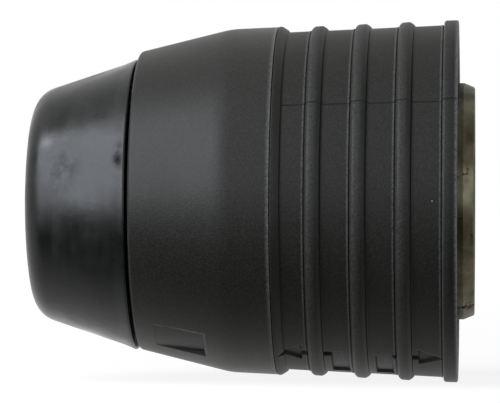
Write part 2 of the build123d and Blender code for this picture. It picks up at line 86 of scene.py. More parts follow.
MM = 0.001
CAD_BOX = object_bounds()
DOWN = radians(-90)
# The two stored marks hold dirt and painted shade, and rubbing and painted highlights.
WEAR_AND_PAINTED_LIGHT = ("grime_and_shade", "rub_and_highlight")     # what each point of a turned skin stores for its material
NEARLY_STRAIGHT = radians(179.5)

# Spacing of a turned piece's points, round the axis and on an arc in degrees, and along its outline.
ROUND_STEP = 2.0
ARC_STEP = 10.0
FINE_GAP = 0.12 * MM
GRIP_GAP = 0.17 * MM
RUN_GAP = 0.6 * MM
INNER_GAP = 2 * MM
HIDDEN_EDGE = 0.3 * MM      # rounding of an edge that barely shows
SHARP_EDGE = radians(38)

# Points round a spring's wire, and rings of them in one turn.
WIRE_POINTS = 12
TURN_RINGS = 32
WIRE_END = radians(60)
SPRING_CUT = 1e-4           # share of the spring left out between its two parts

FLOOR_HALF = 6.0            # metres

BUMP = "ShaderNodeBump"
CELLS = "ShaderNodeTexVoronoi"
MATH = "ShaderNodeMath"
MIX = "ShaderNodeMix"
NOISE = "ShaderNodeTexNoise"
OUTPUT = "ShaderNodeOutputMaterial"
PLACE = "ShaderNodeTexCoord"
RANGE = "ShaderNodeMapRange"
SHADER = "ShaderNodeBsdfPrincipled"
STORED = "ShaderNodeAttribute"
STRETCH = "ShaderNodeMapping"


def linear(code):
    """Linear RGBA of an sRGB hex colour."""
    channels = [int(code[i:i + 2], 16) / 255 for i in (0, 2, 4)]
    return [c / 12.92 if c <= 0.04045 else ((c + 0.055) / 1.055) ** 2.4 for c in channels] + [1.0]


def length(name, description, millimetres):
    """Length property with its default in millimetres."""
    return FloatProperty(name=name, description=description, default=millimetres * MM, unit="LENGTH")


def turn(name, description, angle):
    """Angle property with its default in degrees."""
    return FloatProperty(name=name, description=description, default=radians(angle), unit="ROTATION")


def share(name, description, value):
    """Plain number property."""
    return FloatProperty(name=name, description=description, default=value)


def colour(name, description, code):
    """Colour property with its default as a hex code."""
    return FloatVectorProperty(
        name=name, description=description, default=linear(code), size=4, subtype="COLOR"
    )


class ChuckNose(PropertyGroup):
    """Sizes of the rubber nose cap."""

    front_radius: length("Front radius", "Where the cone would meet the flat front", 16.35)
    front_rounding: length("Front rounding", "Rounding of the front edge", 4.0)
    flare_radius: length("Flare radius", "End of the cone", 20.75)
    flare_length: length("Flare length", "Flared lip behind the cone", 1.95)
    flare_rounding: length("Flare rounding", "Blend from the cone to the lip", 9.0)
    rear_radius: length("Rear radius", "Outside of the rear lip", 21.6)
    wall: length("Wall", "Thickness of the skirt", 2.3)
    front_wall: length("Front wall", "Thickness of the front", 3.3)
    hole_radius: length("Hole", "Radius of the entry hole", 5.6)
    funnel_radius: length("Funnel", "Radius of the funnel's mouth", 8.0)
    funnel_depth: length("Funnel depth", "Depth of the funnel", 1.6)
    hub_inner: length("Hub bore", "Bore over the steel core", 10.47)
    hub_outer: length("Hub radius", "Outside of the rubber hub", 12.47)
    hub_rear: length("Hub end", "Hub's end in front of the cap's rear", 3.7)
    seat: length("Seat", "Sloped seat of the steel core, in the hub", 1.0)
    seat_rise: length("Seat rise", "How far that slope rises to the bore", 0.95)
    lip: length("Lip", "How much thinner the skirt is at its end", 0.5)
    sag: length("Sag", "How far the soft skirt hangs below the axis", 0.6)
    sag_start: length("Sag start", "Radius from which the skirt hangs", 12.6)
    sag_blend: length("Sag blend", "How gradually it begins to hang", 2.4)
    hollow_setback: length("Hollow setback", "Hollow behind the front's inside", 1.2)


class ChuckRelease(PropertyGroup):
    """Sizes of the smooth front sleeve."""

    front_radius: length("Front radius", "Outside at the front edge", 22.0)
    front_rounding: length("Front rounding", "Rounding of the front edge", 0.6)
    shoulder_radius: length("Shoulder radius", "Outside where the cone ends", 25.34)
    shoulder_length: length("Shoulder length", "From the cone's end to the rear edge", 6.95)
    shoulder_rounding: length("Shoulder rounding", "Blend at the cone's end", 12.0)
    rear_radius: length("Rear radius", "Outside at the rear edge", 25.65)
    wall: length("Wall", "Thickness of the shell", 2.0)
    lead: length("Hub lead", "Hub in front of the shell's edge", 0.15)
    web_setback: length("Web setback", "Web behind the front edge", 2.6)
    web: length("Web", "Thickness of the web", 2.4)
    web_fillet: length("Web fillet", "Fillets at the web's edges", 0.8)
    hub_inner: length("Hub bore", "Bore over the locking ring", 14.41)
    hub_outer: length("Hub radius", "Outside of the hub", 16.41)
    hub_length: length("Hub length", "Hub from the shell's front edge back", 13.1)
    mark_angle: turn("Mark angle", "Middle of the thumb mark from straight down", 30.5)
    mark_span: turn("Mark span", "Width of the thumb mark round the sleeve", 15.0)
    mark_setback: length("Mark setback", "Mark behind the front edge", 3.1)
    mark_length: length("Mark length", "Length of the thumb mark", 7.1)
    mark_depth: length("Mark depth", "Depth at the mark's rear end", 0.65)
    mark_edge: length("Mark edge", "Width of the mark's soft edge", 0.22)
    rear_reach: length("Rear reach", "How much nearer the rear sleeve the skin ends", 0.08)


class ChuckLock(PropertyGroup):
    """Sizes of the ribbed rear sleeve."""

    bead_radius: length("Bead radius", "Bead at the joint between the sleeves", 25.75)
    bead_length: length("Bead length", "Length of the bead", 1.4)
    front_radius: length("Front radius", "Grip behind the bead", 24.87)
    rear_radius: length("Rear radius", "Grip in front of the flange", 25.88)
    flange_radius: length("Flange radius", "Outside of the flange", 26.65)
    flange_length: length("Flange length", "Length of the flange", 2.1)
    flange_draft: length("Flange draft", "How much smaller the flange is in front", 0.06)
    flange_soil: share("Flange soil", "Oily dirt on the rear flange's land", 0.55)
    flange_rounding: length("Flange rounding", "Rounding of the flange's front edge", 0.42)
    rim_rounding: length("Rim rounding", "Rounding of the flange's rear edge", 0.3)
    bead_drop: length("Bead drop", "Fall of the bead's rounded back", 0.6)
    rib_pitch: length("Rib pitch", "Distance between ribs", 6.4)
    rib_width: length("Rib width", "Width of a rib", 2.25)
    rib_height: length("Rib height", "Height of a rib", 0.7)
    rib_rounding: length("Rib rounding", "Rounding of a rib's edges", 0.5)
    rib_lean: length("Rib lean", "How far a rib's front leans in at the top", 0.42)
    rear_lean: length("Rear lean", "How far a rib's rear leans in at the top", 0.672)
    rib_fillet: length("Rib fillet", "Fillet at the rear foot of a rib", 0.22)
    rib_setback: length("Rib setback", "Last rib in front of the rear rim", 7.6)
    seam_width: length("Seam width", "Fine ridge and groove at the front foot of a rib", 0.4)
    seam_height: length("Seam height", "Height of that ridge, and depth of the groove", 0.07)
    wall: length("Wall", "Thickness of the shell", 1.7)
    web: length("Web", "Thickness of the front web", 2.4)
    web_fillet: length("Web fillet", "Fillets behind the web", 0.45)
    chamfer: length("Chamfer", "Chamfer inside the rear rim", 0.5)
    mouth: length("Mouth", "Bore in front of the cam ring", 19.25)
    hub_inner: length("Hub bore", "Bore over the cam ring", 20.86)
    hub_outer: length("Hub radius", "Outside of the hub", 22.11)
    hub_front: length("Hub front", "Cam ring's seat behind the front edge", 0.8)
    hub_rear: length("Hub rear", "Hub's end behind the front edge", 7.56)
    parting_angle: turn("Parting angle", "Mould's parting line above the middle", 33.0)
    parting_width: length("Parting width", "Width of the parting line", 0.2)
    parting_depth: length("Parting depth", "Depth of the parting line", 0.1)
    sign_depth: length("Sign depth", "Depth of the sunk arrows and blocks", 0.4)
    sign_edge: length("Sign edge", "Width of the sign's soft edge", 0.16)
    sign_angle: turn("Sign angle", "Middle of the sign from straight down", 22.4)
    arrow_angle: turn("Arrow angle", "Arrows from straight down", 28.8)
    arrow_width: length("Arrow width", "Half width of an arrowhead", 2.05)
    arrow_head: length("Arrowhead", "Length of an arrowhead", 3.4)
    shaft_width: length("Shaft width", "Half width of an arrow's shaft", 0.6)
    shaft_length: length("Shaft length", "Shaft between a rib and an arrowhead", 1.0)
    block_angle: turn("Block angle", "Blocks from straight down", 20.0)
    block_span: turn("Block span", "Width of a block round the sleeve", 17.0)
    block_length: length("Block length", "Length of a block", 2.4)
    front_block: length("Front block", "Front block's middle from the middle rib", 2.9)
    rear_block: length("Rear block", "Rear block's middle from the middle rib", 3.5)


class ChuckSprings(PropertyGroup):
    """Sizes of the two compression springs."""

    tool_wire: length("Tool spring wire", "Wire of the spring behind the thrust plate", 1.4)
    tool_turns: share("Tool spring turns", "Turns of that spring", 4.0)
    lock_wire: length("Sleeve spring wire", "Wire of the ribbed sleeve's spring", 1.2)
    lock_turns: share("Sleeve spring turns", "Turns of that spring", 3.0)


class ChuckFinish(PropertyGroup):
    """Colours of the finishes."""

    rubber: colour("Nose rubber", "Black nitrile rubber of the nose cap", "0E0F0E")
    rubber_smear: colour("Rubber smear", "Handling bloom on the rubber", "1E1E1C")
    rubber_shine: share("Rubber shine", "Specular level of the rubber", 0.21)
    front_plastic: colour("Front plastic", "Spark-eroded nylon of the front sleeve", "181813")
    front_shine: share("Front shine", "Specular level of the front sleeve", 0.175)
    rear_plastic: colour("Rear plastic", "Moulded nylon of the ribbed sleeve", "161611")
    rear_shine: share("Rear shine", "Specular level of the ribbed sleeve", 0.14)
    # This colour also paints shade: the dark lower walls of sunk marks, and dark seam and parting grooves.
    grime_and_shade: colour("Grime", "Dirt that collects in sunk corners", "060605")
    # This colour also paints highlights: pale upper lips of the thumb marks, seam ridges, rib edges and
    # rims.
    scuff: colour("Scuff", "Rubbed edges and light grains", "6C6C6A")
    dust: colour("Dust", "Specks of pale dust", "B9BAB6")
    steel: colour("Steel", "Bare hardened steel", "545141")
    steel_stain: colour("Steel stain", "Oil-browned steel", "3A372B")
    rust: colour("Rust", "Rust spots on the steel", "462C1C")
    ring_spread: share("Ring spread", "How far the lathe's rings spread a highlight", 0.8)
    bearing: colour("Bearing steel", "Polished balls and rings", "B4B5B4")
    spring: colour("Spring steel", "Drawn spring wire", "7B7C7B")
    blackened: colour("Blackened steel", "Oil-blackened washers and rings", "2B2B2A")
    soot: colour("Black stain", "Darker patches of the blackened steel", "1C1A17")
    seal: colour("Seal rubber", "Rubber ring in the socket", "151515")


class ChuckStage(PropertyGroup):
    """Camera and lamps."""

    camera_distance: length("Camera distance", "Lens to the aim point", 513.7)
    camera_side: turn("Camera side", "Camera towards the rear of the chuck", 3.95)
    camera_roll: turn("Camera roll", "Tilt of the camera about its own axis", 0.15)
    aim_x: length("Aim along the axis", "Aim point on the chuck's axis", -33.2)
    aim_z: length("Aim height", "Aim point above the axis", -0.12)
    lens: share("Lens", "Focal length on a 36 mm sensor", 250.0)
    lamp_side: turn("Lamp side", "Front lamp towards the nose", 51.0)
    lamp_distance: length("Lamp distance", "Lamps from the middle of the object", 500.0)
    lamp_width: length("Lamp width", "Width of the tall front lamp", 300.0)
    lamp_tall: length("Lamp height", "Height of the tall front lamp", 610.0)
    front_height: turn("Front height", "Front lamp above the axis", 25.6)
    front_level: share("Front level", "Brightness of the front lamp, where 1 looks white", 8.4)
    top_side: turn("Top side", "Upper lamp towards the nose", 20.0)
    top_height: turn("Top height", "Upper lamp above the axis", 78.0)
    top_width: length("Top width", "Sides of the upper lamp", 400.0)
    top_level: share("Top level", "Brightness of the upper lamp", 0.3)
    rear_side: turn("Rear side", "Small lamp towards the nose, so below zero is the rear", -40.0)
    rear_height: turn("Rear height", "Small lamp above the axis", 13.0)
    rear_width: length("Rear width", "Width of the small lamp", 200.0)
    rear_tall: length("Rear lamp height", "Height of the small lamp", 330.0)
    rear_level: share("Rear level", "Brightness of the small lamp", 5.0)
    floor_paint: colour("Floor paint", "Colour of the matt floor", "6B6A64")
    floor_glow: share("Floor glow", "White that the floor has of its own near the object", 0.87)
    floor_reach: length("Floor reach", "Distance at which the floor is fully white", 600.0)
    # A painted shade in the floor's glow, seen only in mirrors.
    shade_before: length("Shade place", "Dark that mirrors see, before the object", 160.0)
    shade_side: length("Shade side", "Middle of that shade towards the nose", 12.0)
    shade_start: length("Shade start", "Where the shade begins to fade", 128.0)
    shade_reach: length("Shade reach", "Where the shade ends", 153.0)
    lamp_tint: colour("Lamp tint", "Colour of the lamps", "EEF4FF")
    ambient: share("Ambient", "Level of the surroundings", 0.07)


def section(*rows):
    """Closed outline of a turned piece, as an array of (x, radius) points.

    A row is one corner: its x and radius, its rounding, and the gap between points on the run
    that leads to it. The last two may be left out.
    """
    corners = [Vector(row[:2]) for row in rows]
    ends = []
    for i, row in enumerate(rows):
        before = corners[i - 1] - corners[i]
        after = corners[(i + 1) % len(rows)] - corners[i]
        ends.append(rounded(corners[i], before, after, row[2] if len(row) > 2 else 0.0))
    found = []
    for i, row in enumerate(rows):
        start, end = ends[i - 1][-1], ends[i][0]
        steps = max(1, ceil((end - start).length / (row[3] if len(row) > 3 else RUN_GAP)))
        found += [start.lerp(end, k / steps) for k in range(1, steps)]
        found += ends[i]
    return np.array([(p.x, p.y) for p in found])


def rounded(corner, before, after, rounding):
    """Points of the arc that rounds a corner, or the corner itself."""
    spread = before.angle(after)
    if rounding <= 0 or spread > NEARLY_STRAIGHT:
        return [corner]
    before, after = before.normalized(), after.normalized()
    back = rounding / tan(spread / 2)
    centre = corner + (before + after).normalized() * rounding / sin(spread / 2)
    one = corner + before * back - centre
    two = corner + after * back - centre
    sweep = pi - spread
    steps = max(4, ceil(degrees(sweep) / ARC_STEP))
    arc = []
    for k in range(steps + 1):
        t = k / steps
        arc.append(centre + (one * sin((1 - t) * sweep) + two * sin(t * sweep)) / sin(sweep))
    return arc


def angles(windows):
    """Angles once round the axis, finer towards each (middle, half, step) window.

    The middle is in radians, and the other two are in degrees.
    """
    places, here = [], 0.0
    while here < 360.0 - 1e-6:
        places.append(here)
        step = ROUND_STEP
        for middle, half, fine in windows:
            before = abs((here - degrees(middle) + 180.0) % 360.0 - 180.0) - half
            step = min(step, max(fine, before))
        here += step
    if 360.0 - places[-1] < ROUND_STEP / 4:
        places.pop()
    return np.radians(places)


def build(name, points, faces, sharp=SHARP_EDGE):
    """New object in the scene, shaded smooth except over edges sharper than sharp."""
    mesh = bpy.data.meshes.new(name)
    mesh.from_pydata(points.reshape(-1, 3).tolist(), [], faces)
    mesh.validate()
    mesh.polygons.foreach_set("use_smooth", [True] * len(mesh.polygons))
    mesh.set_sharp_from_angle(angle=sharp)
    piece = bpy.data.objects.new(name, mesh)
    bpy.context.scene.collection.objects.link(piece)
    return piece


def spin(name, outline, relief, windows=()):
    """Solid of revolution whose skin is raised or sunk by relief(x, radius, angle).

    relief returns the lift, then the dirt and painted shade, and the rubbing and painted
    highlights of each point.
    """
    round_angles = angles(windows)
    x, angle = np.meshgrid(outline[:, 0], round_angles, indexing="ij")
    radius = np.repeat(outline[:, 1:2], len(round_angles), axis=1)
    lift, grime_and_shade, rub_and_highlight = relief(x, radius, angle)
    radius = radius + lift
    rows, columns = x.shape
    points = np.stack([x, -radius * np.cos(angle), radius * np.sin(angle)], axis=-1)
    i, j = np.meshgrid(np.arange(rows), np.arange(columns), indexing="ij")
    below, beside = (i + 1) % rows, (j + 1) % columns
    corners = [i * columns + j, i * columns + beside, below * columns + beside, below * columns + j]
    piece = build(name, points, np.stack(corners, axis=-1).reshape(-1, 4).tolist())
    for title, values in zip(WEAR_AND_PAINTED_LIGHT, (grime_and_shade, rub_and_highlight)):
        layer = piece.data.attributes.new(title, "FLOAT", "POINT")
        layer.data.foreach_set("value", values.reshape(-1).astype(np.float32))
    piece.modifiers.new("Even shading", "WEIGHTED_NORMAL").keep_sharp = True
    return piece


def step_up(value, width):
    """Smooth step from 0 to 1 as value crosses 0, over width."""
    t = np.clip(value / width + 0.5, 0.0, 1.0)
    return t * t * (3 - 2 * t)


def away(angle, middle):
    """Signed angle from middle, between -pi and pi."""
    return (angle - middle + pi) % (2 * pi) - pi


def spot(along, across, half_along, half_across):
    """Soft round mark, 1 in its middle."""
    return np.exp(-((along / half_along) ** 2) - (across / half_across) ** 2)


def line(along, half):
    """Soft line, 1 in its middle."""
    return np.exp(-((along / half) ** 2))


def inside_box(across, along, half_across, half_along):
    """Signed distance into a rectangle, positive inside."""
    return np.minimum(half_across - np.abs(across), half_along - np.abs(along))


def sunk(depth_in, soft):
    """Mask of a sunk shape, and a line along its lip that marks rubbing and painted highlights, from the
    distance inside.
    """
    return step_up(depth_in, soft), line(depth_in + 1.3 * soft, 0.7 * soft)


def add(tree, kind, inputs=None, **settings):
    """Add a shader node; inputs are set to values, or linked from the nodes or sockets given."""
    node = tree.nodes.new(kind)
    for key, value in settings.items():
        setattr(node, key, value)
    for key, value in (inputs or {}).items():
        if isinstance(value, Node):
            value = next(socket for socket in value.outputs if socket.enabled)
        if isinstance(value, NodeSocket):
            tree.links.new(value, node.inputs[key])
        else:
            node.inputs[key].default_value = value
    return node


def start(name):
    """New material, its empty node tree, and each point's place in the piece."""
    material = bpy.data.materials.new(name)
    material.use_nodes = True
    tree = material.node_tree
    tree.nodes.clear()
    return material, tree, add(tree, PLACE).outputs["Object"]


def grains(size):
    """Noise scale that makes grains about size metres wide."""
    return 0.5 / size


def dust_on(tree, place, tone, dust, size, spacing, keep):
    """Colour with sparse round dust specks; keep is the share of cells that hold one."""
    cells = add(tree, CELLS, {"Vector": place, "Scale": 1 / spacing})
    reach = {"From Min": 0.5 * size / spacing, "From Max": 0.3 * size / spacing}
    near = add(tree, RANGE, {"Value": cells.outputs["Distance"]} | reach)
    pick = add(tree, "ShaderNodeSeparateColor", {0: cells.outputs["Color"]})
    kept = add(tree, MATH, {0: pick.outputs[0], 1: keep}, operation="LESS_THAN")
    speck = add(tree, MATH, {0: near, 1: kept}, operation="MULTIPLY")
    return add(tree, MIX, {0: speck, 6: tone, 7: dust}, data_type="RGBA")


def nose_rubber(finish):
    """Moulded nitrile rubber of the nose cap.

    Carbon black makes it nearly black, and handling has polished its skin, so a lamp shows in it as
    one soft-edged band. Wiping leaves faint streaks round the nose, fingers leave smudges that
    break the band up, and dust sticks to it.
    """
    material, tree, place = start("moulded_nitrile_rubber")
    # Wiping marks are 0.1 to 0.3 mm wide; they are drawn 0.7 mm wide so that they show. The scuff's
    # scratches are 0.1 mm wide, drawn 0.3 mm wide.
    wiped = add(tree, STRETCH, {"Vector": place, "Scale": (1.0, 0.07, 0.07)})
    streaks, smudges, patches, scratches, pores = [
        add(tree, NOISE, {"Vector": at, "Scale": grains(width * MM), "Detail": fine, "Roughness": rough})
        for at, width, fine, rough in (
            (wiped, 0.7, 3.0, 0.5),
            (place, 3.2, 4.0, 0.6),
            (place, 1.1, 4.0, 0.65),
            (place, 0.3, 2.0, 0.5),
            (place, 0.5, 2.0, 0.5),
        )
    ]
    grime_and_shade, rub_and_highlight = [add(tree, STORED, attribute_name=title).outputs["Fac"] for title in WEAR_AND_PAINTED_LIGHT]
    streaky, smudgy, broken, scratched, deep = [
        add(tree, RANGE, {"Value": value, "From Min": low, "From Max": high})
        for value, low, high in (
            (streaks, 0.38, 0.66),
            (smudges, 0.38, 0.66),
            (patches, 0.38, 0.6),
            (scratches, 0.45, 0.6),
            (grime_and_shade, 0.5, 1.0),
        )
    ]
    haze, film, scuff, paled = [
        add(tree, MATH, {0: one, 1: two}, operation="MULTIPLY")
        for one, two in ((streaky, smudgy), (grime_and_shade, broken), (scratched, deep), (rub_and_highlight, smudgy))
    ]
    tone = finish.rubber[:]
    for mask, paint in ((haze, finish.rubber_smear), (scuff, finish.grime_and_shade), (paled, finish.scuff)):
        tone = add(tree, MIX, {0: mask, 6: tone, 7: paint[:]}, data_type="RGBA")
    tone = dust_on(tree, place, tone, finish.dust[:], size=0.16 * MM, spacing=2.2 * MM, keep=0.05)
    soft = {"From Min": 0.35, "From Max": 0.65, "To Min": 0.16, "To Max": 0.34}
    gloss = add(tree, RANGE, {"Value": smudges} | soft)
    streak_gloss = add(tree, MATH, {0: streaks, 1: 0.06, 2: gloss}, operation="MULTIPLY_ADD")
    dulled = add(tree, MATH, {0: film, 1: 0.7, 2: streak_gloss}, operation="MULTIPLY_ADD")
    fine = add(tree, BUMP, {"Height": pores, "Strength": 0.25, "Distance": 0.012 * MM})
    dents = add(tree, BUMP, {"Height": smudges, "Strength": 0.5, "Distance": 0.14 * MM, "Normal": fine})
    normal = add(tree, BUMP, {"Height": streaks, "Strength": 0.3, "Distance": 0.03 * MM, "Normal": dents})
    look = {"Base Color": tone, "Roughness": dulled, "Normal": normal, "IOR": 1.52}
    shader = add(tree, SHADER, look | {"Specular IOR Level": finish.rubber_shine})
    add(tree, OUTPUT, {"Surface": shader})
    return material


def sleeve_plastic(name, finish, tone, shine, grit, rough, deep):
    """Glass-filled nylon 6 from a spark-eroded mould, as name, with grit so wide and deep.

    The mould's fine pits leave an even grit that spreads a lamp into a wide dull sheen. Its peaks
    are rubbed paler by handling. Edges are painted paler, partly rubbed and partly painted highlights,
    and sunk corners and grooves are painted darker, partly dirt and partly painted shade.
    """
    material, tree, place = start(name)
    # The grit of such a mould is 0.03 to 0.05 mm; it is drawn about 0.15 mm wide so that it shows.
    grain = add(tree, NOISE, {"Vector": place, "Scale": grains(grit), "Detail": 2.0, "Roughness": 0.6})
    clouds = add(tree, NOISE, {"Vector": place, "Scale": grains(6 * MM), "Detail": 3.0})
    handled = add(tree, RANGE, {"Value": clouds, "From Min": 0.3, "From Max": 0.7, "To Max": 0.12})
    peaks = add(tree, RANGE, {"Value": grain, "From Min": 0.4, "From Max": 0.75, "To Max": 0.07})
    grime_and_shade, rub_and_highlight = [add(tree, STORED, attribute_name=title).outputs["Fac"] for title in WEAR_AND_PAINTED_LIGHT]
    # Rubbing and painted highlights along an edge come and go with the grit, so they read as a broken line.
    patchy = add(tree, RANGE, {"Value": grain, "From Min": 0.36, "From Max": 0.6, "To Min": 0.35})
    paled = add(tree, MATH, {0: rub_and_highlight, 1: patchy}, operation="MULTIPLY")
    dirt, pale_paint = finish.grime_and_shade[:], finish.scuff[:]
    # Dark patches hold dirt and painted shade; pale ones hold grain, rubbing and painted highlights.
    for mask, paint in ((handled, dirt), (peaks, pale_paint), (paled, pale_paint), (grime_and_shade, dirt)):
        tone = add(tree, MIX, {0: mask, 6: tone, 7: paint}, data_type="RGBA")
    tone = dust_on(tree, place, tone, finish.dust[:], size=0.2 * MM, spacing=3.0 * MM, keep=0.06)
    uneven = {"From Min": 0.3, "From Max": 0.7, "To Min": rough, "To Max": rough + 0.08}
    gloss = add(tree, RANGE, {"Value": clouds} | uneven)
    normal = add(tree, BUMP, {"Height": grain, "Strength": 0.6, "Distance": deep})
    look = {"Base Color": tone, "Roughness": gloss, "Normal": normal, "IOR": 1.53}
    shader = add(tree, SHADER, look | {"Specular IOR Level": shine})
    add(tree, OUTPUT, {"Surface": shader})
    return material


def bare_steel(finish):
    """Turned and hardened alloy steel of the tool holder.

    The lathe leaves fine rings round the axis, which spread a highlight along it. Hardening and old
    oil leave olive-brown stains, and handling without oil leaves small rust spots, which are dull.
    """
    material, tree, place = start("turned_hardened_steel")
    # Lathe rings are 0.05 mm apart; they are drawn about 0.12 mm apart.
    turned = add(tree, STRETCH, {"Vector": place, "Scale": (1.0, 0.05, 0.05)})
    rings = add(tree, NOISE, {"Vector": turned, "Scale": grains(0.12 * MM), "Detail": 2.0})
    blot = {"Vector": place, "W": 1.0, "Scale": grains(1.6 * MM), "Detail": 6.0, "Roughness": 0.6}
    patches = add(tree, NOISE, blot, noise_dimensions="4D")
    stained = add(tree, RANGE, {"Value": patches, "From Min": 0.38, "From Max": 0.7})
    pit = {"Vector": place, "W": 1.0, "Scale": grains(1.5 * MM), "Detail": 4.0, "Roughness": 0.7}
    pits = add(tree, NOISE, pit, noise_dimensions="4D")
    rust = add(tree, RANGE, {"Value": pits, "From Min": 0.575, "From Max": 0.63, "To Max": 0.85})
    tone = finish.steel[:]
    for mask, paint in ((stained, finish.steel_stain), (rust, finish.rust)):
        tone = add(tree, MIX, {0: mask, 6: tone, 7: paint[:]}, data_type="RGBA")
    sheen = {"From Min": 0.3, "From Max": 0.7, "To Min": 0.34, "To Max": 0.5}
    gloss = add(tree, RANGE, {"Value": patches} | sheen)
    dulled = add(tree, MATH, {0: gloss, 1: rust}, operation="MAXIMUM")
    normal = add(tree, BUMP, {"Height": rings, "Strength": 0.7, "Distance": 0.02 * MM})
    look = {"Base Color": tone, "Metallic": 1.0, "Roughness": dulled, "Normal": normal}
    shader = add(tree, SHADER, look | {"Anisotropic": finish.ring_spread})
    add(tree, OUTPUT, {"Surface": shader})
    return material


def stained(name, tones, stain, sheen, marks, look):
    """Finish of a part inside, as name: soft oil stains, an uneven sheen and fine marks.

    tones are the clean colour and the stained one. stain is the stains' width and the two levels
    of their noise between which they show, sheen is two roughnesses, and marks are the fine
    marks' width, strength and depth.
    """
    material, tree, place = start(name)
    stains = add(tree, NOISE, {"Vector": place, "Scale": grains(stain[0]), "Detail": 3.0})
    oily = add(tree, RANGE, {"Value": stains, "From Min": stain[1], "From Max": stain[2]})
    tone = add(tree, MIX, {0: oily, 6: tones[0][:], 7: tones[1][:]}, data_type="RGBA")
    uneven = {"From Min": 0.3, "From Max": 0.7, "To Min": sheen[0], "To Max": sheen[1]}
    gloss = add(tree, RANGE, {"Value": stains} | uneven)
    fine = add(tree, NOISE, {"Vector": place, "Scale": grains(marks[0]), "Detail": 2.0})
    normal = add(tree, BUMP, {"Height": fine, "Strength": marks[1], "Distance": marks[2]})
    made = {"Base Color": tone, "Roughness": gloss, "Normal": normal}
    add(tree, OUTPUT, {"Surface": add(tree, SHADER, made | look)})
    return material


def plain_metal(name, tones, width, sheen):
    """Ground or drawn steel of a lock part, as name, with oil stains so wide.

    Its grinding or drawing marks are a few hundredths of a millimetre wide, drawn 0.15 mm wide.
    """
    marks = (0.15 * MM, 0.2, 0.006 * MM)
    return stained(name, tones, (width, 0.35, 0.75), sheen, marks, {"Metallic": 1.0})


def seal_rubber(finish):
    """Moulded nitrile rubber ring in the tool socket: soft, black and dull, with a trace of oil."""
    tones = finish.seal, finish.rubber_smear
    marks = (0.3 * MM, 0.3, 0.01 * MM)
    return stained("seal_rubber", tones, (1.5 * MM, 0.4, 0.7), (0.35, 0.55), marks, {"IOR": 1.52})


def dress(piece, material):
    """Give a piece one material for all its faces."""
    if not piece.material_slots:
        piece.data.materials.append(material)
    for held in piece.material_slots:
        held.material = material


class CHUCK_OT_nose_cap(Operator):
    """Rubber nose cap: rounded cone with a flared lip, an entry funnel and a hollow skirt."""

    bl_idname = "chuck.nose_cap"
    bl_label = "Nose cap"

    def execute(self, context):
        size = context.scene.chuck_nose
        low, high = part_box("nose_cap")
        front, rear = low.x, high.x
        flare = rear - size.flare_length
        wall_rear = front + size.front_wall
        hollow = wall_rear + size.hollow_setback
        hub_rear = rear - size.hub_rear
        cone = (size.flare_radius - size.front_radius) / (flare - front)
        hollow_radius = size.front_radius + cone * (hollow - front) - size.wall
        outline = section(
            (front, size.funnel_radius, 0.35 * MM),
            (front, size.front_radius, size.front_rounding, 0.5 * MM),
            (flare, size.flare_radius, size.flare_rounding),
            (rear, size.rear_radius, HIDDEN_EDGE),
            (rear, size.rear_radius - size.wall + size.lip, 0.2 * MM),
            (hollow, hollow_radius, 1.0 * MM, 1.0 * MM),
            (hollow, size.hub_outer, 0.6 * MM),
            (hub_rear, size.hub_outer, HIDDEN_EDGE),
            (hub_rear, size.hub_inner),
            (wall_rear + size.seat, size.hub_inner),
            (wall_rear, size.hub_inner - size.seat_rise),
            (wall_rear, size.hole_radius, 0.2 * MM),
            (front + size.funnel_depth, size.hole_radius, HIDDEN_EDGE),
        )

        def relief(x, radius, angle):
            """Sag of the skirt, a scuff on the lip, a dull smudge, and a pale rubbed spot in front."""

            def mark(along, above, half_along, half_across):
                """Soft mark at a place along the axis, so many degrees above the side."""
                across = away(angle, radians(above)) * radius
                return spot(x - along, across, half_along, half_across)

            scuff = mark(rear - 1.1 * MM, 17, 0.6 * MM, 1.9 * MM)
            smudge = mark(front + 5.8 * MM, 14, 2.6 * MM, 2.6 * MM)
            pale = mark(front + 3.4 * MM, 29, 0.8 * MM, 1.1 * MM)
            hanging = step_up(radius - size.sag_start - size.sag_blend / 2, size.sag_blend)
            return -size.sag * hanging * np.sin(angle), np.maximum(scuff, 0.5 * smudge), pale

        piece = spin("nose_cap_skin", outline, relief)
        dress(piece, nose_rubber(context.scene.chuck_finish))
        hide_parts("nose_cap")
        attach(piece, "tool_holder")
        return {"FINISHED"}


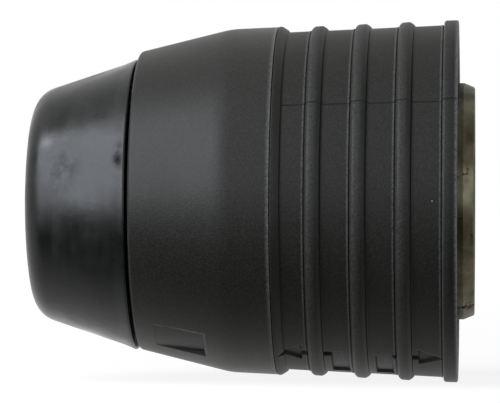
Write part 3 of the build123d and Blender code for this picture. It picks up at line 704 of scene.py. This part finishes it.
class CHUCK_OT_release_sleeve(Operator):
    """Smooth front sleeve with two sunk thumb marks."""

    bl_idname = "chuck.release_sleeve"
    bl_label = "Release sleeve"

    def execute(self, context):
        size = context.scene.chuck_release
        low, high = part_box("release_sleeve")
        rear = high.x + size.rear_reach
        front = low.x + size.lead
        cone_end = rear - size.shoulder_length
        web_front = front + size.web_setback
        web_rear = web_front + size.web
        cone = (size.shoulder_radius - size.front_radius) / (cone_end - front)
        inside = size.front_radius - size.wall
        hub_rear = front + size.hub_length
        outline = section(
            (front, inside, HIDDEN_EDGE),
            (front, size.front_radius, size.front_rounding),
            (cone_end, size.shoulder_radius, size.shoulder_rounding, FINE_GAP),
            (rear, size.rear_radius, 0.1 * MM),
            (rear, size.rear_radius - size.wall),
            (cone_end, size.shoulder_radius - size.wall, 0.0, INNER_GAP),
            (web_rear, inside + cone * (web_rear - front), size.web_fillet, INNER_GAP),
            (web_rear, size.hub_outer, size.web_fillet, INNER_GAP),
            (hub_rear, size.hub_outer, 0.0, INNER_GAP),
            (hub_rear, size.hub_inner),
            (low.x, size.hub_inner, 0.0, INNER_GAP),
            (low.x, size.hub_outer),
            (web_front, size.hub_outer, size.web_fillet),
            (web_front, inside + cone * (web_front - front), size.web_fillet),
        )
        marks = [DOWN + size.mark_angle, size.mark_angle - DOWN]
        half = size.mark_span / 2
        middle = front + size.mark_setback + size.mark_length / 2

        def relief(x, radius, angle):
            """Thumb marks that deepen towards the rear, only on the outer skin."""
            outer = radius > size.front_radius + cone * np.clip(x - front, 0, None) - 0.7 * size.wall
            lift, grime_and_shade, rub_and_highlight = np.zeros_like(x), np.zeros_like(x), np.zeros_like(x)
            # A mark is a tenth as deep at its front end as at its rear.
            deep = np.clip(0.55 + 0.9 * (x - middle) / size.mark_length, 0.1, 1.0)
            for mark in marks:
                across = away(angle, mark) * radius
                inner = inside_box(across, x - middle, half * radius, size.mark_length / 2)
                mask, lip = sunk(inner, size.mark_edge)
                lift -= size.mark_depth * mask * deep
                # The lower wall is painted dark, a painted shade, and the upper lip is painted pale, a
                # painted highlight.
                lower = 1 - step_up(across + half * radius - 0.6 * MM, 0.25 * MM)
                grime_and_shade += step_up(inner + 0.06 * MM, 0.12 * MM) * lower * deep ** 0.5
                upper = step_up(across + 0.6 * half * radius, 1 * MM)
                rub_and_highlight += 0.8 * lip * upper * np.clip(2 * deep - 0.4, 0, 1)
            # The rear edge is painted pale, partly rubbed by handling and partly a painted highlight.
            rub_and_highlight += 0.55 * line(x - rear + 0.1 * MM, 0.14 * MM)
            return lift * outer, np.clip(grime_and_shade, 0, 1) * outer, np.clip(rub_and_highlight, 0, 1) * outer

        windows = [(mark, degrees(half) + 1.5, 0.3) for mark in marks]
        piece = spin("release_sleeve_shell", outline, relief, windows)
        finish = context.scene.chuck_finish
        look = {"tone": finish.front_plastic[:], "shine": finish.front_shine}
        grit = {"grit": 0.15 * MM, "rough": 0.4, "deep": 0.03 * MM}
        dress(piece, sleeve_plastic("spark_eroded_nylon", finish, **look, **grit))
        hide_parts("release_sleeve")
        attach(piece, "release_sleeve")
        return {"FINISHED"}


class CHUCK_OT_lock_sleeve(Operator):
    """Ribbed rear sleeve: joint bead, three ribs, flange, parting lines and a sunk slide sign."""

    bl_idname = "chuck.lock_sleeve"
    bl_label = "Lock sleeve"

    def execute(self, context):
        size = context.scene.chuck_lock
        low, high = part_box("lock_sleeve")
        front, rim = low.x, high.x
        flange = rim - size.flange_length
        grip_front = front + size.bead_length
        web_rear = front + size.web
        inner_rear = size.rear_radius - size.wall
        flare = (size.rear_radius - size.front_radius) / (flange - grip_front)
        rows = [
            (front, size.mouth, HIDDEN_EDGE),
            (front, size.bead_radius, 0.12 * MM),
            (front + 0.3 * size.bead_length, size.bead_radius - 0.05 * MM, 0.6 * MM, FINE_GAP),
            (grip_front - 0.1 * MM, size.bead_radius - size.bead_drop, 0.4 * MM, FINE_GAP),
            (grip_front, size.front_radius, 0.05 * MM),
        ]
        ribs = [rim - size.rib_setback - size.rib_pitch * k for k in (2, 1, 0)]
        half_rib = size.rib_width / 2
        feet = [x - half_rib for x in ribs] + [flange]
        for foot in feet:
            grip = size.front_radius + flare * (foot - grip_front)
            ridge, groove = grip + size.seam_height, grip - size.seam_height
            rows.append((foot - size.seam_width, grip, 0.0, GRIP_GAP))
            for back, radius in ((0.8, ridge), (0.4, ridge), (0.25, groove), (0.0, groove)):
                rows.append((foot - back * size.seam_width, radius))
            if foot < flange:
                # Both sides of a rib lean in above its waist, the rear one more, so it looks round.
                side, rise = foot + size.rib_width, flare * size.rib_width
                top, waist = grip + size.rib_height, grip + size.rib_height - size.rib_lean
                rows += [
                    (foot, waist, size.rib_rounding),
                    (foot + size.rib_lean, top, size.rib_rounding),
                    (side - size.rear_lean, top + rise, size.rib_rounding),
                    (side, waist + rise, size.rib_rounding),
                    (side, grip + rise, size.rib_fillet),
                ]
        rows += [
            (flange, size.flange_radius - size.flange_draft, size.flange_rounding),
            (rim, size.flange_radius, size.rim_rounding, 0.3 * MM),
            (rim, inner_rear + size.chamfer, 0.1 * MM),
            (rim - size.chamfer, inner_rear),
            (web_rear, size.front_radius - size.wall, size.web_fillet, INNER_GAP),
            (web_rear, size.hub_outer, size.web_fillet),
            (front + size.hub_rear, size.hub_outer, 0.0, INNER_GAP),
            (front + size.hub_rear, size.hub_inner),
            (front + size.hub_front, size.hub_inner, 0.0, INNER_GAP),
            (front + size.hub_front, size.mouth),
        ]
        arrow_at = DOWN + size.arrow_angle
        block_at = DOWN + size.block_angle
        partings = (size.parting_angle, size.parting_angle + pi)

        def arrow(across, along):
            """Distance inside an arrow that points towards +along from a rib's foot."""
            slope = size.arrow_width / size.arrow_head
            beyond = along - size.shaft_length
            side = (size.arrow_width - np.abs(across) - slope * beyond) / (1 + slope ** 2) ** 0.5
            half = size.shaft_length / 2
            into_head = 0.2 * MM
            shaft = inside_box(across, along - half, size.shaft_width, half + into_head)
            return np.maximum(np.minimum(side, beyond), shaft)

        def sign(x, across_arrow, across_block):
            """Distance inside the arrows and blocks between the ribs."""
            ends = ribs[0] - half_rib - x, x - ribs[2] - half_rib
            shapes = [arrow(across_arrow, along) for along in ends]
            half_span = size.block_span / 2 * size.rear_radius
            for side, offset in ((-1, size.front_block), (1, size.rear_block)):
                block = ribs[1] + side * offset
                foot = ribs[1] + side * (size.rib_pitch - half_rib)
                shapes.append(inside_box(across_block, x - block, half_span, size.block_length / 2))
                reach, middle = abs(foot - block) / 2, (foot + block) / 2
                shapes.append(inside_box(across_arrow, x - middle, size.shaft_width, reach))
            return np.maximum.reduce(shapes)

        def relief(x, radius, angle):
            """Parting lines, the sign, dirt and rubbing, and painted shade and highlights, only on the
            outer skin.
            """
            clear = 0.02 * MM
            outer = radius > size.front_radius - 0.7 * size.wall
            between = outer & (x > front + 0.35 * MM) & (x < flange - clear)
            # Besides dirt and rubbing, these marks hold painted shade and painted highlights.
            rub_and_highlight, dirt = np.zeros_like(x), np.zeros_like(x)
            for rib in ribs:
                between &= np.abs(x - rib) > half_rib - clear
            for foot in feet:
                # In widths of the seam: its groove is painted dark, a painted shade, and its ridge and the
                # edge above it are painted pale, a painted highlight.
                seam = (x - foot) / size.seam_width
                dirt += line(seam + 0.12, 0.2) * (x < foot + 0.01 * MM)
                rub_and_highlight += 0.5 * line(seam + 0.65, 0.3) + 0.16 * line(x - foot - 0.6 * MM, 0.45 * MM)
            # The rim and the flange's front edge are painted pale, partly rubbed by handling and partly a
            # painted highlight.
            rub_and_highlight += line(x - rim + 0.12 * MM, 0.16 * MM) + 0.3 * line(x - flange - 0.15 * MM, 0.2 * MM)
            # The flange's land is handled with oily gloves, so it is darker than the ribs.
            land = step_up(x - flange - 0.1 * MM, 0.2 * MM) * (1 - step_up(x - rim + 0.45 * MM, 0.2 * MM))
            dirt += size.flange_soil * land
            lift = np.zeros_like(x)
            # Each parting line's groove is painted dark, a painted shade.
            for parting in partings:
                seam = line(away(angle, parting) * radius, 0.5 * size.parting_width) * (x > grip_front)
                lift -= size.parting_depth * seam
                dirt += seam
            across_arrow = away(angle, arrow_at) * radius
            across_block = away(angle, block_at) * radius
            inner = sign(x, across_arrow, across_block)
            mask, lip = sunk(inner, size.sign_edge)
            lift -= size.sign_depth * mask * between
            # On a lower wall, the point a little below is less far inside the sign. These lower walls are
            # painted dark, a painted shade.
            drop = 0.3 * MM
            below = sign(x, across_arrow - drop, across_block - drop)
            low_wall_shade = line(inner - 0.06 * MM, 0.16 * MM) * step_up(inner - below + 0.1 * MM, 0.1 * MM)
            dirt += low_wall_shade * between
            rub_and_highlight += 0.3 * lip * between
            return lift * outer, np.clip(dirt, 0, 1) * outer, np.clip(rub_and_highlight, 0, 1) * outer

        windows = [(DOWN + size.sign_angle, 11.5, 0.28)]
        windows += [(parting, 0.6, 0.1) for parting in partings]
        piece = spin("lock_sleeve_shell", section(*rows), relief, windows)
        finish = context.scene.chuck_finish
        look = {"tone": finish.rear_plastic[:], "shine": finish.rear_shine}
        grit = {"grit": 0.14 * MM, "rough": 0.48, "deep": 0.025 * MM}
        dress(piece, sleeve_plastic("moulded_nylon", finish, **look, **grit))
        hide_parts("lock_sleeve")
        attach(piece, "lock_sleeve")
        return {"FINISHED"}


def coil(name, low, high, wire, turns, start, end):
    """Round-wire spring along X that fills the box from low to high.

    Only the part from one share of its length to another is made, with flat ends.
    """
    half = wire / 2
    radius = high.z - half
    rise = high.x - low.x - wire
    along = np.linspace(start, end, ceil(turns * (end - start) * TURN_RINGS) + 1)[:, None]
    round_wire = np.linspace(0.0, 2 * pi, WIRE_POINTS, endpoint=False)[None, :]
    angle = 2 * pi * turns * along
    climb = rise / (2 * pi * turns * radius)
    tilt = (1 + climb ** 2) ** 0.5
    out, side = half * np.cos(round_wire), half * np.sin(round_wire) / tilt
    reach = radius + out
    x = low.x + half + rise * along + side
    y = -reach * np.cos(angle) - side * climb * np.sin(angle)
    z = reach * np.sin(angle) - side * climb * np.cos(angle)
    rows, columns = x.shape
    i, j = np.meshgrid(np.arange(rows - 1), np.arange(columns), indexing="ij")
    beside = (j + 1) % columns
    corners = [i * columns + j, (i + 1) * columns + j, (i + 1) * columns + beside, i * columns + beside]
    faces = np.stack(corners, axis=-1).reshape(-1, 4).tolist()
    faces.append(list(range(columns)))
    faces.append(list(range(rows * columns - 1, (rows - 1) * columns - 1, -1)))
    return build(name, np.stack([x, y, z], axis=-1), faces, WIRE_END)


class CHUCK_OT_springs(Operator):
    """Two compression springs, the ribbed sleeve's one in two parts, each attached to a body."""

    bl_idname = "chuck.springs"
    bl_label = "Springs"

    def execute(self, context):
        size = context.scene.chuck_springs
        finish = context.scene.chuck_finish
        tones = finish.spring, finish.steel_stain
        made = plain_metal("drawn_spring_steel", tones, width=1 * MM, sheen=(0.25, 0.4))
        travel = {joint["name"]: joint["range_m"][1] for joint in frame["record"]["behaviour"]["joints"]}
        release, lock = "release_sleeve_slide", "lock_sleeve_slide"
        # Two slides shorten the ribbed sleeve's spring, and a squash follows only one joint, so it is
        # in two parts, whose lengths are as the travels of their slides.
        split = travel[lock] / (travel[lock] + travel[release])
        tool = "tool_spring", size.tool_wire, size.tool_turns
        sleeve = "lock_sleeve_spring", size.lock_wire, size.lock_turns
        for name, (node, wire, turns), start, end, body, joint in (
            ("tool_spring_coil", tool, 0.0, 1.0, "tool_holder", release),
            ("lock_spring_front", sleeve, 0.0, split, "release_sleeve", lock),
            ("lock_spring_rear", sleeve, split + SPRING_CUT, 1.0, "tool_holder", release),
        ):
            low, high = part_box(node)
            piece = coil(name, low, high, wire, turns, start, end)
            dress(piece, made)
            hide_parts(node)
            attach(piece, body)
            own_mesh(piece)
        return {"FINISHED"}


class CHUCK_OT_metal_parts(Operator):
    """Finishes of the steel body and of the locks and rings inside."""

    bl_idname = "chuck.metal_parts"
    bl_label = "Metal parts"

    def execute(self, context):
        finish = context.scene.chuck_finish
        shiny = finish.bearing, finish.steel
        black = finish.blackened, finish.soot
        by_slot = {
            "hardened_steel": bare_steel(finish),
            "bearing_steel": plain_metal("polished_bearing_steel", shiny, 2 * MM, sheen=(0.12, 0.25)),
            "blackened_steel": plain_metal("oil_blackened_steel", black, 2 * MM, sheen=(0.35, 0.5)),
            "seal_rubber": seal_rubber(finish),
        }
        for part in frame["record"]["subparts"]:
            if part["material_slot"] in by_slot:
                dress(frame["nodes"][part["node"]], by_slot[part["material_slot"]])
        return {"FINISHED"}


class CHUCK_OT_stage(Operator):
    """Pale floor, soft lamps and the camera."""

    bl_idname = "chuck.stage"
    bl_label = "Stage"

    def execute(self, context):
        size = context.scene.chuck_stage
        scene = context.scene
        scene.view_settings.view_transform = "Standard"
        quarters = ((-1, -1), (1, -1), (1, 1), (-1, 1))
        corners = [(x * FLOOR_HALF, y * FLOOR_HALF, CAD_BOX[0].z) for x, y in quarters]
        floor = build("floor", np.array(corners), [(0, 1, 2, 3)])
        dress(floor, pale_floor(size))
        surround(scene, size.ambient)
        tall = (size.lamp_width, size.lamp_tall)
        square = (size.top_width, size.top_width)
        narrow = (size.rear_width, size.rear_tall)
        for name, side, height, sides, level in (
            ("front_lamp", size.lamp_side, size.front_height, tall, size.front_level),
            ("top_lamp", size.top_side, size.top_height, square, size.top_level),
            ("rear_lamp", size.rear_side, size.rear_height, narrow, size.rear_level),
        ):
            low = cos(height)
            towards = Vector((-low * sin(side), -low * cos(side), sin(height)))
            lamp(name, towards * size.lamp_distance, sides, level, size.lamp_tint[:3])
        aim = Vector((size.aim_x, 0, size.aim_z))
        back = Vector((sin(size.camera_side), -cos(size.camera_side), 0))
        camera = bpy.data.objects.new("camera", bpy.data.cameras.new("camera"))
        camera.data.lens = size.lens
        camera.location = aim + back * size.camera_distance
        look = (-back).to_track_quat("-Z", "Y")
        roll = Quaternion((0, 0, 1), size.camera_roll)
        camera.rotation_euler = (look @ roll).to_euler()
        scene.collection.objects.link(camera)
        scene.camera = camera
        return {"FINISHED"}


def pale_floor(size):
    """Matt pale paint that fades into the white surroundings and keeps the object's soft shadow.

    The camera and mirrors see it white, except that just before the object mirrors see a painted
    shade in its glow.
    """
    material, tree, place = start("matt_white_floor")
    paint = add(tree, "ShaderNodeBsdfDiffuse", {"Color": size.floor_paint[:]})
    path = add(tree, "ShaderNodeLightPath").outputs
    afar = add(tree, "ShaderNodeVectorMath", {0: place}, operation="LENGTH")
    open_floor = {"From Max": size.floor_reach, "To Min": size.floor_glow}
    seen = add(tree, RANGE, {"Value": afar} | open_floor)
    # Middle and fade of the painted shade that mirrors see in the glow.
    shade_middle = (size.aim_x - size.shade_side, -size.shade_before, CAD_BOX[0].z)
    beside = add(tree, "ShaderNodeVectorMath", {0: place, 1: shade_middle}, operation="DISTANCE")
    fade = {"From Min": size.shade_start, "From Max": size.shade_reach}
    painted_shade_fade = add(tree, RANGE, {"Value": beside} | fade, interpolation_type="SMOOTHSTEP")
    clear = add(tree, MATH, {0: path["Is Glossy Ray"], 1: path["Is Transmission Ray"]}, operation="MAXIMUM")
    in_mirrors = add(tree, MATH, {0: clear, 1: painted_shade_fade}, operation="MULTIPLY")
    strength = add(tree, MATH, {0: path["Is Camera Ray"], 1: seen, 2: in_mirrors}, operation="MULTIPLY_ADD")
    white = add(tree, "ShaderNodeEmission", {"Strength": strength})
    both = add(tree, "ShaderNodeAddShader", {0: paint, 1: white})
    add(tree, OUTPUT, {"Surface": both})
    return material


def seen_directly(tree):
    """1 for rays from the camera, in a mirror or through glass, and 0 for light that falls on things."""
    path = add(tree, "ShaderNodeLightPath").outputs
    seen = add(tree, MATH, {0: path["Is Camera Ray"], 1: path["Is Glossy Ray"]}, operation="MAXIMUM")
    return add(tree, MATH, {0: seen, 1: path["Is Transmission Ray"]}, operation="MAXIMUM")


def surround(scene, level):
    """White surroundings that light the object with a plain even level."""
    world = bpy.data.worlds.new("surroundings")
    scene.world = world
    world.use_nodes = True
    tree = world.node_tree
    tree.nodes.clear()
    strength = add(tree, RANGE, {"Value": seen_directly(tree), "To Min": level, "To Max": 1.0})
    sky = add(tree, "ShaderNodeBackground", {"Strength": strength, "Color": (1.0, 1.0, 1.0, 1.0)})
    add(tree, "ShaderNodeOutputWorld", {"Surface": sky})


def lamp(name, place, size, level, tint):
    """Large soft lamp that faces the middle of the object; a level of 1 looks white.

    Its height runs round the chuck's axis, so that it lights the turned sleeves evenly.
    """
    data = bpy.data.lights.new(name, "AREA")
    data.shape = "RECTANGLE"
    data.size, data.size_y = size
    data.energy = level * pi * size[0] * size[1]
    data.color = tint
    made = bpy.data.objects.new(name, data)
    made.location = place
    back = (place - (CAD_BOX[0] + CAD_BOX[1]) / 2).normalized()
    tall = back.cross(Vector((1, 0, 0))).normalized()
    made.rotation_euler = Matrix((tall.cross(back), tall, back)).transposed().to_euler()
    bpy.context.scene.collection.objects.link(made)


class CHUCK_PT_sidebar(Panel):
    """Lists the pieces of the chuck."""

    bl_idname = "CHUCK_PT_sidebar"
    bl_label = "Drill chuck"
    bl_space_type = "VIEW_3D"
    bl_region_type = "UI"
    bl_category = "Chuck"

    def draw(self, context):
        for step in STEPS:
            self.layout.operator(step.bl_idname)


GROUPS = {
    "chuck_nose": ChuckNose,
    "chuck_release": ChuckRelease,
    "chuck_lock": ChuckLock,
    "chuck_springs": ChuckSprings,
    "chuck_finish": ChuckFinish,
    "chuck_stage": ChuckStage,
}
STEPS = [
    CHUCK_OT_nose_cap,
    CHUCK_OT_release_sleeve,
    CHUCK_OT_lock_sleeve,
    CHUCK_OT_springs,
    CHUCK_OT_metal_parts,
    CHUCK_OT_stage,
]


def register():
    """Register the property groups, operators and panel."""
    for title, group in GROUPS.items():
        bpy.utils.register_class(group)
        setattr(bpy.types.Scene, title, PointerProperty(type=group))
    for step in STEPS:
        bpy.utils.register_class(step)
    bpy.utils.register_class(CHUCK_PT_sidebar)


def unregister():
    """Take them all away again."""
    bpy.utils.unregister_class(CHUCK_PT_sidebar)
    for step in reversed(STEPS):
        bpy.utils.unregister_class(step)
    for title, group in GROUPS.items():
        delattr(bpy.types.Scene, title)
        bpy.utils.unregister_class(group)


def main():
    """Make every piece in order."""
    register()
    for step in STEPS:
        area, action = step.bl_idname.split(".")
        getattr(getattr(bpy.ops, area), action)()


if __name__ == "__main__":
    main()
